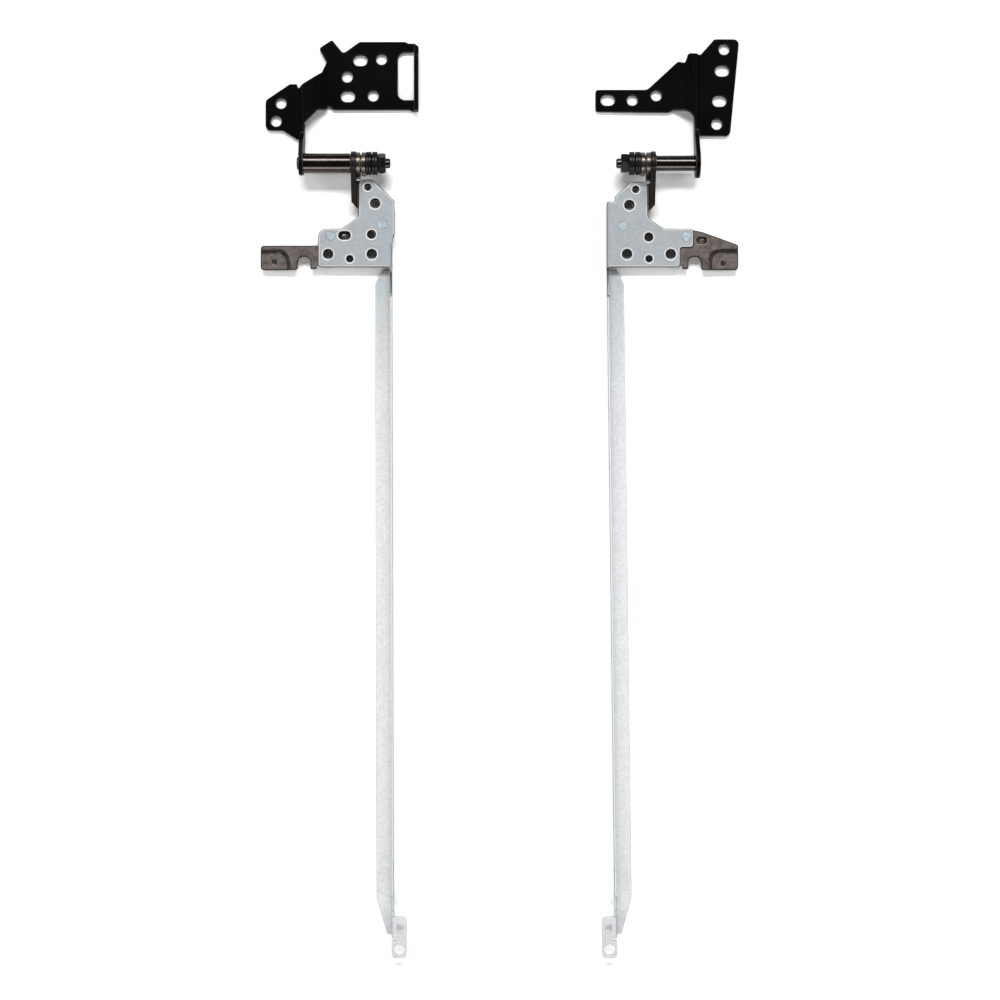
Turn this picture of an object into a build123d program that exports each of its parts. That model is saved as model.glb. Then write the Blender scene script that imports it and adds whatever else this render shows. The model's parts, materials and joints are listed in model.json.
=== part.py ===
from build123d import *

import os
from math import acos, atan2, cos, hypot, pi, radians, sin, tan

# A left and a right laptop display hinge, lying flat and fully open as a pair.
# Each hinge is drawn in its own frame: x runs outward from the inner face of the rail's web,
# y points from the display towards the keyboard base, z is up from the table, and the shaft
# lies along x at y = 0. The left hinge is drawn the same way and then mirrored.
# All lengths are in millimetres. A value given for each side differs between the two hinges.

# The pair
web_spacing = 64.5
axis_height = 6.4

# Sheets and folds
rail_sheet = 0.6
rail_fold = 0.6
arm_sheet = 1.5
arm_fold = 0.5
base_sheet = 1.4
base_fold = 0.45

# Corner radii of the cut sheets
fine_corner = 0.3
small_corner = 0.5
corner = 0.9
wide_corner = 1.6

# Clearances
press_gap = 0.01
running_gap = 0.04
seat_gap = 0.1

# Rail: web, flange and end tab, with reaches counted from the hinge axis
rail_height = 4.0
rail_width = 5.2
rail_reach = 235.2
# degrees by which the rail runs outward on its way from the plate
rail_lean = {"left": -0.15, "right": 0.7}
flange_start = 31.1
flange_lead_length = 4.3
flange_lead_width = 2.4
flange_tail_length = 11.0
flange_tail_width = 3.1
flange_tail_end = 4.2
web_dip_start = 39.0
web_dip_end = 26.1
web_dip_depth = 0.9
web_notch_start = 15.9
web_notch_end = 11.4
web_notch_depth = 2.2
web_start = {"left": 23.8, "right": 11.1}
web_relief = 0.5
tab_width = 3.9
tab_foot_width = 0.6
tab_start = 9.8
tab_fold_end = 3.2
tab_end = 2.7
tab_corner = 1.2
tab_hole_x = 1.7
tab_hole = 3.2
tab_slot_pitch = 6.4
tab_slot_x = 2.1
tab_slot_width = 2.0
tab_slot_length = 3.2

# Rail plate: neck at the shaft, foot beside the rail
plate_end = 30.7
neck_top = {"left": 4.4, "right": 5.2}
neck_corner = 1.4
neck_inner_top = {"left": 6.0, "right": 7.2}
neck_inner = {"left": -0.8, "right": 2.3}
neck_inner_start = {"left": 10.8, "right": 9.6}
neck_waist = {"left": 15.6, "right": 15.9}
foot_top = 19.2
foot_top_start = {"left": 15.2, "right": 17.0}
foot_width = {"left": 22.1, "right": 21.9}
foot_top_width = {"left": 22.1, "right": 25.9}
foot_step = 24.8
foot_corner = {"left": 2.5, "right": 0.9}
foot_edge_corner = 0.9

# Holes in the rail plate
screw_hole = 3.1
middle_hole = 2.7
small_hole = 2.2
plate_slot_width = 2.6
plate_slot_length = 3.8
foot_row = 26.8
foot_inner_screw = 6.0
foot_outer_screw = 19.1
foot_small = (12.6, -28.2)
neck_small = {"left": (7.2, -6.7), "right": (8.6, -7.4)}
neck_screw = {"left": (5.0, -11.6), "right": (6.7, -12.1)}
middle_place = {"left": (6.1, -20.9), "right": (12.5, -21.7)}
left_slot_place = (14.2, -21.2)

# Rivets
rivet = 3.0
rivet_head = 4.2
rivet_head_height = 0.5
rivet_proud = 0.05
inner_rivet = {"left": (2.9, -17.9), "right": (4.9, -18.3)}
outer_rivet = {"left": (18.5, -21.3), "right": (23.8, -21.6)}

# Hinge arm: plate under the rail plate, tab beside it, ear up to the shaft
arm_ring = 3.6
arm_nub = 0.6
arm_nub_angle = 120.0
arm_neck_gap = 0.4
arm_fold_length = 8.5
arm_inset = 0.3
arm_plate_end = 30.2
arm_inner = {"left": 0.3, "right": 2.0}
arm_inner_end = 21.6
arm_web_gap = 0.3
arm_tab_width = 39.4
arm_tab_top = {"left": 24.2, "right": 20.1}
arm_tab_slope_start = 28.6
arm_tab_slope_drop = {"left": 0.0, "right": 3.9}
arm_tab_end = 31.5
arm_tab_corner = 1.0
arm_notch_x = 26.35
arm_notch_width = 3.8
arm_notch_top = 27.5
arm_prong_x = 22.6
arm_prong_end = 31.2
arm_hole_clearance = 0.8
arm_slot_clearance = 0.3
arm_recess_x = 30.8
arm_recess_top = 25.6
arm_recess_depth = 0.5
arm_recess_corner = 3.2
clip_hole = 1.6
clip_inset = {"left": (4.1, 2.4), "right": (4.5, 2.0)}
right_slot_place = (28.4, -22.6)
right_slot_width = 2.4
right_slot_length = 3.6

# Shaft and the washers on it
ear_face = 26.2
shoulder_length = {"left": 13.9, "right": 11.6}
shoulder = {"left": 6.0, "right": 4.7}
journal = 3.6
journal_flats = 2.9
thread = 3.0
stub_length = 1.4
stub_chamfer = 0.35
stake = 3.8
stake_height = {"left": 0.6, "right": 0.25}
stake_edge = 0.2
friction_washer = 5.2
inner_washer_thickness = 0.25
outer_washer_thickness = 0.4
stop_plate_ring = 6.6
stop_plate_thickness = 1.3
stop_plate_foot = 3.0
stop_lug_slope = 1.6
stop_washer = 6.6
stop_washer_thickness = 1.2
stop_lobe = 0.5
stop_lobe_width = 3.4
stop_lobe_corner = 0.8
spring_washer = 7.0
spring_hole = 3.8
spring_sheet = 0.78
spring_cone = 0.14
spring_count = 4
nut_flats = 5.2
nut_height = 2.3
nut_turn = {"left": 3.0, "right": 29.0}
nut_chamfer = 0.35

# Base bracket: outer pad, ear wall, raised web, joggle and inner pad
web_rise = 2.7
joggle_outer = {"left": 22.3, "right": 24.0}
joggle_inner = {"left": 19.6, "right": 19.9}
base_ear = {"left": 3.6, "right": 4.4}
ear_root = {"left": 7.9, "right": 9.0}
ear_root_lead = 1.0
ear_web_start = {"left": 12.6, "right": 15.9}
ear_rise_start = {"left": 9.0, "right": 9.8}
left_ear_shoulder = (6.3, 8.4)
base_hole = 3.2
base_slot_length = 4.2

# Left bracket outline
left_pad_low = 16.8
left_pad_high = 37.3
left_flange_face = 8.0
left_flange_low = 16.2
left_flange_high = 36.8
left_flange_height = 4.4
left_flange_start = 34.0
left_flange_slope = 1.6
left_flange_chamfer = 1.0
left_flange_run = 3.1
left_flare_run = 1.5
left_pad_corner = 9.8
left_valley = (14.7, 33.8)
left_finger_tip = (18.1, 37.9)
left_finger_side = (22.1, 35.3)
left_finger_root = (19.7, 31.1)
left_web_high = (21.1, 27.7)
left_notch = (28.3, 23.3)
left_notch_lean = 0.4
left_outer_high = 24.6
left_outer_corner = 30.8
left_outer_side = (38.1, 19.7)
left_outer_low = 10.6
left_outer_low_start = 33.0
left_relief = (19.1, 18.2)
left_relief_width = 1.5
left_relief_drop = 0.3
left_window_x = (1.7, 6.6)
left_window_y = (19.8, 34.1)
left_window_corner = 2.2
left_base_holes = [(3.2, 32.0), (13.5, 26.7), (5.7, 21.0), (33.4, 18.8), (34.9, 13.4)]
left_base_slots = [(9.55, 31.65), (13.3, 20.8)]

# Right bracket outline
right_arm_tip = 3.4
right_arm_low = 16.2
right_arm_high = 22.9
right_arm_slope_start = 12.2
right_arm_slope_corner = 2.4
right_arm_slope_end = (19.8, 29.9)
right_bump = (21.4, 31.2)
right_dip = (23.4, 30.5)
right_web_high = 33.4
right_web_corner = 24.3
right_outer_start = 28.2
right_outer_corner = (32.4, 38.1)
right_outer_high = (39.9, 38.1)
right_outer_low = (37.1, 8.9)
right_relief = (20.2, 16.8)
right_relief_width = 1.8
right_relief_drop = 0.2
right_base_holes = [(35.3, 35.0), (33.1, 12.5), (7.7, 19.7), (14.9, 21.1)]
right_base_slots = [(34.7, 28.5), (33.9, 19.4), (0.3, 19.7)]

# Values that follow from those above
rail_outside = rail_fold + rail_sheet
plate_under = rail_height - rail_sheet
lean_start = (plate_end + fine_corner + flange_start) / 2
arm_top = plate_under
arm_under = arm_top - arm_sheet
ear_outer_face = ear_face + base_sheet
web_top = web_rise + base_sheet
spring_pitch = spring_sheet + spring_cone
base_bend = base_fold + base_sheet / 2
beyond = 20.0
straight = 0.01
edge_share = 0.49


def limited(before, at, after, radius):
    """Corner radius, kept to what the two edges that meet there leave room for."""
    back = (before[0] - at[0], before[1] - at[1])
    ahead = (after[0] - at[0], after[1] - at[1])
    cross = back[0] * ahead[1] - back[1] * ahead[0]
    dot = back[0] * ahead[0] + back[1] * ahead[1]
    half_turn = (pi - abs(atan2(cross, dot))) / 2
    if half_turn < straight:
        return 0
    return min(radius, edge_share * min(hypot(*back), hypot(*ahead)) / tan(half_turn))


def outline(corners):
    """Closed face through corners, each given as x, y and the radius it is rounded to."""
    points = [place[:2] for place in corners]
    radii = [
        limited(points[index - 1], points[index], points[(index + 1) % len(points)], place[2])
        for index, place in enumerate(corners)
    ]
    return make_face(FilletPolyline(*points, radius=radii, close=True))


def along_x(face, start, end):
    """Face drawn in y and z, drawn out between two places on x."""
    return extrude(Plane.YZ.offset(start) * face, end - start)


def along_y(face, start, end):
    """Face drawn in x and z, drawn out between two places on y."""
    return extrude(Plane.XZ.offset(-end) * face, end - start)


def along_z(face, start, end):
    """Face drawn in x and y, drawn out between two heights."""
    return extrude(Plane.XY.offset(start) * face, end - start)


def fold(centre_x, centre_z, towards_x, towards_z, inside, sheet, start, end):
    """Quarter bend along y, on the given side of its centre line."""
    reach = inside + sheet
    quarter = Pos(towards_x * reach / 2, towards_z * reach / 2) * Rectangle(reach, reach)
    ring = (Circle(reach) - Circle(inside)) & quarter
    return along_y(Pos(centre_x, centre_z) * ring, start, end)


def round_hole(place, diameter):
    """Upright cutter for a round hole."""
    return along_z(Pos(*place) * Circle(diameter / 2), -beyond, beyond)


def slot_hole(place, length, width, turned=0):
    """Upright cutter for a slot, lying along x unless turned."""
    return along_z(Pos(*place) * Rot(0, 0, turned) * SlotOverall(length, width), -beyond, beyond)


def on_shaft(face, start, end):
    """Face drawn about the hinge axis, drawn out along it."""
    return along_x(Pos(0, axis_height) * face, start, end)


def tangent_point(radius, place, side):
    """Where a line from place touches a circle about the hinge axis."""
    away = hypot(place[0], place[1] - axis_height)
    angle = atan2(place[1] - axis_height, place[0]) + side * acos(radius / away)
    return radius * cos(angle), axis_height + radius * sin(angle)


def stack(side):
    """Places along x where each piece on the shaft begins, counted inward from the base ear."""
    lengths = [
        ("shoulder", shoulder_length[side]),
        ("inner_washer", inner_washer_thickness),
        ("arm", arm_sheet),
        ("stop_plate", stop_plate_thickness),
        ("outer_washer", outer_washer_thickness),
        ("stop_washer", stop_washer_thickness),
        ("springs", spring_count * spring_pitch),
        ("nut", nut_height),
        ("stub", stub_length),
    ]
    places = {}
    x = ear_face
    for name, length in lengths:
        places[name] = (x - length, x)
        x -= length
    return places


def plate_screws(side):
    """Holes through the rail plate and the arm under it, as place and diameter."""
    return [
        ((foot_inner_screw, -foot_row), screw_hole),
        ((foot_outer_screw, -foot_row), screw_hole),
        (neck_screw[side], screw_hole),
        (middle_place[side], middle_hole),
        (neck_small[side], small_hole),
        (foot_small, small_hole),
    ]


def neck_outer(side):
    """Outer edge of the rail plate's neck, clear of the arm's fold."""
    return stack(side)["arm"][0] - arm_fold - seat_gap


def plate_outline(side):
    """Rail plate seen from above, without the fold into the web."""
    edge = neck_outer(side)
    step = foot_top_width[side] - foot_width[side]
    foot_side = [(foot_top_width[side], -foot_top, foot_corner[side])]
    if step > foot_edge_corner:
        foot_side.append((foot_top_width[side], -foot_step, foot_edge_corner))
        foot_side.append((foot_width[side], -foot_step, foot_edge_corner))
    relief = web_start[side] - web_relief
    inner_side = [(rail_outside, -web_start[side], 0)]
    if neck_inner[side] < rail_outside:
        inner_side.append((rail_outside, -relief, 0))
        inner_side.append((0, -relief, fine_corner))
        inner_side.append((neck_inner[side], -relief + 2 * rail_outside, corner))
    else:
        inner_side.append((neck_inner[side], -web_start[side], fine_corner))
    return outline(
        [
            (neck_inner_top[side], -neck_top[side], corner),
            (edge, -neck_top[side], neck_corner),
            (edge, -neck_waist[side], wide_corner),
            (foot_top_start[side], -foot_top, wide_corner),
            *foot_side,
            (foot_width[side], -plate_end, foot_edge_corner),
            (rail_outside, -plate_end, 0),
            *inner_side,
            (neck_inner[side], -neck_inner_start[side], small_corner),
        ]
    )


def web_outline(side):
    """Web seen from the side, with the low stretch and the notch in its free edge."""
    top = rail_height
    dip = top - web_dip_depth
    notch = top - web_notch_depth
    fold_line = rail_height - rail_outside
    tab_line = rail_reach - tab_start
    return outline(
        [
            (-web_start[side], 0, fine_corner),
            (-web_start[side], fold_line, 0),
            (-plate_end, fold_line, 0),
            (-plate_end, top, fine_corner),
            (-web_dip_start, top, fine_corner),
            (-web_dip_start, dip, fine_corner),
            (-rail_reach + web_dip_end, dip, fine_corner),
            (-rail_reach + web_dip_end, top, fine_corner),
            (-rail_reach + web_notch_start, top, fine_corner),
            (-rail_reach + web_notch_start, notch, fine_corner),
            (-rail_reach + web_notch_end, notch, fine_corner),
            (-rail_reach + web_notch_end, fold_line, 0),
            (-tab_line, fold_line, 0),
            (-rail_reach + tab_fold_end, fold_line, 0),
            (-rail_reach + tab_fold_end, rail_outside, corner),
            (-flange_start, rail_outside, 0),
            (-flange_start, 0, 0),
        ]
    )


def on_rail(side):
    """Turn of the rail about the place where its web leaves the plate."""
    place = Pos(rail_sheet / 2, -lean_start)
    return place * Rot(0, 0, rail_lean[side]) * place.inverse()


def rail_web(side):
    """Web in two straight lengths, mitred where the rail starts to lean."""
    web = along_x(web_outline(side), 0, rail_sheet)
    size = 2 * rail_reach
    beside_plate = (
        Pos(rail_sheet / 2, -lean_start)
        * Rot(0, 0, rail_lean[side] / 2)
        * Box(size, size, size, align=(Align.CENTER, Align.MIN, Align.CENTER))
    )
    return (web & beside_plate) + (on_rail(side) * web - beside_plate)


def rail_bracket(side):
    """Folded sheet: plate at the hinge, long rail of web and flange, tab at the far end."""
    flange_end = rail_reach - flange_tail_end
    tail_start = flange_end - flange_tail_length
    fold_line = rail_height - rail_outside
    tab_line = rail_reach - tab_start
    tab_fold_line = rail_reach - tab_fold_end
    plate = along_z(plate_outline(side), plate_under, rail_height)
    plate_fold = fold(
        rail_outside, fold_line, -1, 1, rail_fold, rail_sheet, -plate_end, -web_start[side]
    )
    flange = along_z(
        outline(
            [
                (rail_outside, -flange_start, 0),
                (rail_width - flange_lead_width, -flange_start, small_corner),
                (rail_width, -flange_start - flange_lead_length, corner),
                (rail_width, -tail_start, corner),
                (rail_width - flange_tail_width, -flange_end, small_corner),
                (rail_outside, -flange_end, 0),
            ]
        ),
        0,
        rail_sheet,
    )
    flange_fold = fold(
        rail_outside, rail_outside, -1, -1, rail_fold, rail_sheet, -flange_end, -flange_start
    )
    tab_fold = fold(
        -rail_fold, fold_line, 1, 1, rail_fold, rail_sheet, -tab_fold_line, -tab_line
    )
    tab = along_z(
        outline(
            [
                (-rail_fold, -tab_line, 0),
                (-tab_width, -tab_line, tab_corner),
                (-tab_width, -rail_reach - tab_end, tab_corner),
                (tab_foot_width, -rail_reach - tab_end, tab_corner),
                (tab_foot_width, -tab_fold_line - web_relief, small_corner),
                (-rail_fold, -tab_fold_line - web_relief, 0),
            ]
        ),
        plate_under,
        rail_height,
    )
    bracket = plate + plate_fold + rail_web(side)
    bracket += on_rail(side) * (flange + flange_fold + tab_fold + tab)
    for place, diameter in plate_screws(side):
        bracket -= round_hole(place, diameter)
    for place in (inner_rivet[side], outer_rivet[side]):
        bracket -= round_hole(place, rivet + 2 * press_gap)
    if side == "left":
        bracket -= slot_hole(left_slot_place, plate_slot_length, plate_slot_width)
    bracket -= on_rail(side) * round_hole((-tab_hole_x, -rail_reach), tab_hole)
    slot_place = (-tab_slot_x, -rail_reach + tab_slot_pitch)
    bracket -= on_rail(side) * slot_hole(slot_place, tab_slot_length, tab_slot_width, turned=90)
    return bracket


def arm_outline(side):
    """Arm plate and tab seen from above, up to the line where the ear folds up."""
    fold_x = stack(side)["arm"][0] - arm_fold
    neck = neck_top[side] + arm_neck_gap
    neck_end = neck + arm_fold_length
    web_side = rail_outside + arm_web_gap
    notch_low = arm_notch_x - arm_notch_width / 2
    notch_high = arm_notch_x + arm_notch_width / 2
    slope_end = arm_tab_top[side] + arm_tab_slope_drop[side]
    if side == "left":
        shoulder_side = [
            (foot_top_width[side] - arm_inset, -foot_top - arm_inset, wide_corner),
            (foot_top_width[side] - arm_inset, -arm_tab_top[side], fine_corner),
        ]
    else:
        shoulder_side = [
            (foot_top_width[side] - arm_inset, -foot_top - arm_inset, fine_corner),
            (arm_tab_slope_start, -arm_tab_top[side], wide_corner),
        ]
    inner_edge = arm_inner[side]
    inner_side = [(max(web_side, inner_edge), -arm_plate_end, small_corner)]
    if inner_edge < web_side:
        inner_side.append((web_side, -arm_inner_end, fine_corner))
        inner_side.append((inner_edge, -arm_inner_end, fine_corner))
    return outline(
        [
            (neck_small[side][0] + small_hole / 2, -neck, 0),
            (fold_x, -neck, 0),
            (fold_x, -neck_end, 0),
            (neck_outer(side) - arm_inset, -neck_waist[side] - arm_inset, corner),
            (foot_top_start[side] - arm_inset, -foot_top - arm_inset, wide_corner),
            *shoulder_side,
            (arm_tab_width, -slope_end, arm_tab_corner),
            (arm_tab_width, -arm_tab_end, arm_tab_corner),
            (notch_high, -arm_tab_end, corner),
            (notch_high, -arm_notch_top, arm_notch_width / 2 - seat_gap),
            (notch_low, -arm_notch_top, arm_notch_width / 2 - seat_gap),
            (notch_low, -arm_prong_end, fine_corner),
            (arm_prong_x, -arm_prong_end, fine_corner),
            (arm_prong_x, -arm_plate_end, 0),
            *inner_side,
            (inner_edge, -neck_inner_start[side] - 2 * arm_inset, corner),
        ]
    )


def arm_ear(side):
    """Ear of the arm seen from the side: ring on the shaft, nub, and gusset down to the fold."""
    neck = neck_top[side] + arm_neck_gap
    near = (-neck, arm_top + arm_fold)
    far = (-neck - arm_fold_length, arm_top + arm_fold)
    gusset = make_face(
        Polyline(
            (0, axis_height),
            tangent_point(arm_ring, near, 1),
            near,
            far,
            tangent_point(arm_ring, far, -1),
            close=True,
        )
    )
    angle = radians(arm_nub_angle)
    nub = Pos(arm_ring * cos(angle), axis_height + arm_ring * sin(angle)) * Circle(arm_nub)
    return gusset + nub + Pos(0, axis_height) * Circle(arm_ring)


def hinge_arm(side):
    """Folded plate that turns on the shaft and carries the rail bracket."""
    inner_face, outer_face = stack(side)["arm"]
    neck = neck_top[side] + arm_neck_gap
    sheet = arm_outline(side)
    recess = outline(
        [
            (arm_recess_x, -arm_tab_end - beyond, 0),
            (arm_recess_x, -arm_recess_top, arm_recess_corner),
            (arm_tab_width + beyond, -arm_recess_top, 0),
            (arm_tab_width + beyond, -arm_tab_end - beyond, 0),
        ]
    )
    plate = along_z(sheet - recess, arm_under, arm_top)
    sunk = along_z(sheet & recess, arm_under - arm_recess_depth, arm_top - arm_recess_depth)
    ear_fold = fold(
        inner_face - arm_fold, arm_top + arm_fold, 1, -1, arm_fold, arm_sheet,
        -neck - arm_fold_length, -neck,
    )
    ear = along_x(arm_ear(side), inner_face, outer_face)
    arm = plate + sunk + ear_fold + ear
    foot = -neck - arm_fold_length
    slant = arm_sheet + arm_fold
    arm -= along_z(
        make_face(
            Polyline(
                (outer_face - slant, foot),
                (outer_face + slant, foot + 2 * slant),
                (outer_face + slant, foot),
                close=True,
            )
        ),
        -beyond,
        beyond,
    )
    arm -= on_shaft(Circle(journal / 2 + running_gap), inner_face, outer_face)
    for place, diameter in plate_screws(side):
        arm -= round_hole(place, diameter + arm_hole_clearance)
    for place in (inner_rivet[side], outer_rivet[side]):
        arm -= round_hole(place, rivet + 2 * press_gap)
    clip_x, clip_y = clip_inset[side]
    arm -= round_hole((arm_tab_width - clip_x, clip_y - arm_tab_end), clip_hole)
    if side == "left":
        arm -= slot_hole(
            left_slot_place,
            plate_slot_length + arm_slot_clearance,
            plate_slot_width + arm_slot_clearance,
        )
    else:
        arm -= slot_hole(right_slot_place, right_slot_length, right_slot_width)
    return arm


def rivets(side):
    """Two rivets, set flush in the rail plate and headed under the arm."""
    solids = []
    for place in (inner_rivet[side], outer_rivet[side]):
        shank = along_z(Pos(*place) * Circle(rivet / 2), arm_under, rail_height + rivet_proud)
        head = along_z(
            Pos(*place) * Circle(rivet_head / 2), arm_under - rivet_head_height, arm_under
        )
        solids += (shank + head).solids()
    return Compound(children=solids)


def stop_plate(side):
    """Ring beside the arm with a square lug that stands against the rail plate's neck."""
    lug_face = -neck_top[side] + seat_gap
    lug_top = axis_height - seat_gap
    lug = outline(
        [
            (0, stop_plate_foot, 0),
            (0, lug_top, 0),
            (lug_face, lug_top - stop_lug_slope, small_corner),
            (lug_face, stop_plate_foot, fine_corner),
        ]
    )
    face = lug + Pos(0, axis_height) * Circle(stop_plate_ring / 2)
    plate = along_x(face, *stack(side)["stop_plate"])
    return plate - on_shaft(Circle(journal / 2 + running_gap), *stack(side)["stop_plate"])


def flat_washer(side, seat):
    """Thin friction washer."""
    face = Circle(friction_washer / 2) - Circle(journal / 2 + running_gap)
    return on_shaft(face, *stack(side)[seat])


def keyed_section(gap):
    """Journal section with two flats."""
    flats = Rectangle(journal + 2 * beyond, journal_flats + 2 * gap)
    return Circle(journal / 2 + gap) & flats


def stop_washer_piece(side):
    """Washer keyed to the shaft, with a lobe towards the display."""
    radius = stop_washer / 2
    lobe = Pos(-radius / 2 - stop_lobe / 2, 0) * RectangleRounded(
        radius + stop_lobe, stop_lobe_width, stop_lobe_corner
    )
    face = Circle(radius) + lobe - keyed_section(running_gap)
    return on_shaft(face, *stack(side)["stop_washer"])


def spring_washers(side):
    """Conical washers, laid rim to rim and hole to hole in turn."""
    start = stack(side)["springs"][0]
    hole = spring_hole / 2
    rim = spring_washer / 2
    washers = []
    for index in range(spring_count):
        at_hole = spring_cone if index % 2 else 0
        at_rim = spring_cone - at_hole
        section = make_face(
            Polyline(
                (at_hole, hole),
                (at_hole + spring_sheet, hole),
                (at_rim + spring_sheet, rim),
                (at_rim, rim),
                close=True,
            )
        )
        washer = revolve(Plane.XY * section, Axis.X)
        washers.append(Pos(start + index * spring_pitch, 0, axis_height) * washer)
    return washers


def lock_nut(side):
    """Hexagon nut with its corners turned off at both ends."""
    start, end = stack(side)["nut"]
    hexagon = on_shaft(
        Rot(0, 0, nut_turn[side]) * RegularPolygon(nut_flats / 2, 6, major_radius=False), start, end
    )
    turned = on_shaft(Circle(nut_flats / 2 / cos(pi / 6)), start, end)
    turned = chamfer(turned.edges().filter_by(GeomType.CIRCLE), nut_chamfer)
    return (hexagon & turned) - on_shaft(Circle(thread / 2 + press_gap), start, end)


def hinge_shaft(side):
    """Stepped pin staked in the base ear, keyed for the washers and threaded for the nut."""
    places = stack(side)
    shoulder_start = places["shoulder"][0]
    round_start = places["stop_washer"][1]
    keyed_start = places["springs"][0]
    head = on_shaft(Circle(stake / 2), ear_outer_face, ear_outer_face + stake_height[side])
    head = chamfer(head.faces().sort_by(Axis.X)[-1].edges(), min(stake_edge, stake_height[side] / 2))
    tail = on_shaft(Circle(journal / 2), ear_face, ear_outer_face)
    body = on_shaft(Circle(shoulder[side] / 2), shoulder_start, ear_face)
    bearing = on_shaft(Circle(journal / 2), round_start, shoulder_start)
    keyed = on_shaft(keyed_section(0), keyed_start, round_start)
    screw = on_shaft(Circle(thread / 2), places["stub"][0], keyed_start)
    screw = chamfer(screw.faces().sort_by(Axis.X)[0].edges(), stub_chamfer)
    return head + tail + body + bearing + keyed + screw


def folded_base(side, inner_end, upturn=0):
    """Base sheet seen along y: outer pad, ear wall, raised web, joggle, inner pad, any upturn."""
    middle = base_sheet / 2
    wall = ear_face + middle
    path = [
        (ear_outer_face + beyond, middle),
        (wall, middle),
        (wall, web_rise + middle),
        (joggle_outer[side], web_rise + middle),
        (joggle_inner[side], middle),
        (inner_end, middle),
    ]
    if upturn:
        path.append((inner_end, upturn))
    line = FilletPolyline(*path, radius=base_bend)
    return make_face(offset(line, middle, kind=Kind.INTERSECTION, side=Side.BOTH).edges())


def base_ear_face(side):
    """Ear seen from the side: ring about the shaft, straight under edge, stepped upper edge."""
    radius = base_ear[side]
    low = (ear_root[side], 0)
    upper = [(ear_rise_start[side], web_top, corner)]
    if side == "left":
        upper.append((*left_ear_shoulder, small_corner))
    high = tangent_point(radius, upper[-1][:2], 1)
    neck = outline(
        [
            (ear_web_start[side], 0, 0),
            (ear_web_start[side], web_top, 0),
            *upper,
            (*high, 0),
            (0, axis_height, 0),
            (*tangent_point(radius, low, -1), 0),
            (*low, 0),
        ]
    )
    return neck + Pos(0, axis_height) * Circle(radius)


def base_ear_piece(side):
    """Ear as thick as the sheet, its foot rounded off like the fold it runs into."""
    reach = base_fold + base_sheet
    outside = Pos(reach / 2, reach / 2) * Rectangle(reach, reach) - Circle(reach)
    rounding = along_y(
        Pos(ear_face - base_fold, web_rise - base_fold) * outside,
        ear_rise_start[side] + corner,
        ear_web_start[side],
    )
    return along_x(base_ear_face(side), ear_face, ear_outer_face) - rounding


def left_base_outline():
    """Left bracket seen from above."""
    flange = -left_flange_face
    flare = flange + base_sheet
    step = flange + left_flange_run
    relief_x, relief_y = left_relief
    outer_x, outer_y = left_outer_side
    return outline(
        [
            (flange, left_flange_low, fine_corner),
            (flange, left_flange_high - left_flange_chamfer, fine_corner),
            (flare, left_flange_high, small_corner),
            (step, left_flange_high, small_corner),
            (step + left_flange_chamfer, left_pad_high, small_corner),
            (left_pad_corner, left_pad_high, corner),
            (*left_valley, corner),
            (*left_finger_tip, small_corner),
            (*left_finger_side, corner),
            (*left_finger_root, corner),
            (*left_web_high, corner),
            (*left_notch, fine_corner),
            (left_notch[0] + left_notch_lean, left_outer_high, fine_corner),
            (left_outer_corner, left_outer_high, corner),
            (outer_x, outer_y, wide_corner),
            (outer_x, left_outer_low, wide_corner),
            (left_outer_low_start, left_outer_low, wide_corner),
            (ear_outer_face + ear_root_lead, ear_root["left"], fine_corner),
            (ear_face, ear_root["left"], 0),
            (ear_face, ear_web_start["left"], fine_corner),
            (joggle_outer["left"], left_pad_low - left_relief_drop, corner),
            (relief_x + left_relief_width / 2, left_pad_low, fine_corner),
            (relief_x, relief_y, small_corner),
            (relief_x - left_relief_width, left_pad_low, corner),
            (flare + left_flare_run, left_pad_low, corner),
            (flare, left_flange_low, fine_corner),
        ]
    )


def right_base_outline():
    """Right bracket seen from above."""
    return outline(
        [
            (-right_arm_tip, right_arm_low, corner),
            (-right_arm_tip, right_arm_high, corner),
            (right_arm_slope_start, right_arm_high, right_arm_slope_corner),
            (*right_arm_slope_end, corner),
            (*right_bump, corner),
            (*right_dip, small_corner),
            (right_web_corner, right_web_high, corner),
            (right_outer_start, right_web_high, corner),
            (*right_outer_corner, corner),
            (*right_outer_high, wide_corner),
            (*right_outer_low, wide_corner),
            (ear_outer_face + ear_root_lead, ear_root["right"], fine_corner),
            (ear_face, ear_root["right"], 0),
            (ear_face, ear_web_start["right"], 2 * wide_corner),
            (*right_relief, small_corner),
            (right_relief[0] - right_relief_width, right_arm_low - right_relief_drop, corner),
        ]
    )


def left_base_sheet():
    """Left bracket without its ear: folded sheet, flat finger, short upturned flange and window."""
    section = folded_base("left", base_sheet / 2 - left_flange_face, left_flange_height + base_sheet)
    plan = left_base_outline()
    finger = Pos(left_valley[0], left_finger_root[1]) * Rectangle(
        beyond, beyond, align=(Align.MIN, Align.MIN)
    )
    folded = along_y(section, 0, left_finger_tip[1] + beyond)
    sheet = folded & along_z(plan - finger, -beyond, beyond)
    sheet += along_z(plan & finger, 0, base_sheet)
    flange_foot = base_sheet + base_fold
    above_flange = outline(
        [
            (0, left_flange_height, 0),
            (left_flange_start - left_flange_slope, left_flange_height, small_corner),
            (left_flange_start, flange_foot, small_corner),
            (left_flange_start + beyond, flange_foot, 0),
            (left_flange_start + beyond, left_flange_height + beyond, 0),
            (0, left_flange_height + beyond, 0),
        ]
    )
    sheet -= along_x(above_flange, -left_flange_face - beyond, -left_window_x[0])
    window = outline(
        [
            (-left_window_x[1], left_window_y[0], 0),
            (-left_window_x[1], left_window_y[1], 0),
            (-left_window_x[0], left_window_y[1], left_window_corner),
            (-left_window_x[0], left_window_y[0], left_window_corner),
        ]
    )
    return sheet - along_z(window, -beyond, beyond)


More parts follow.
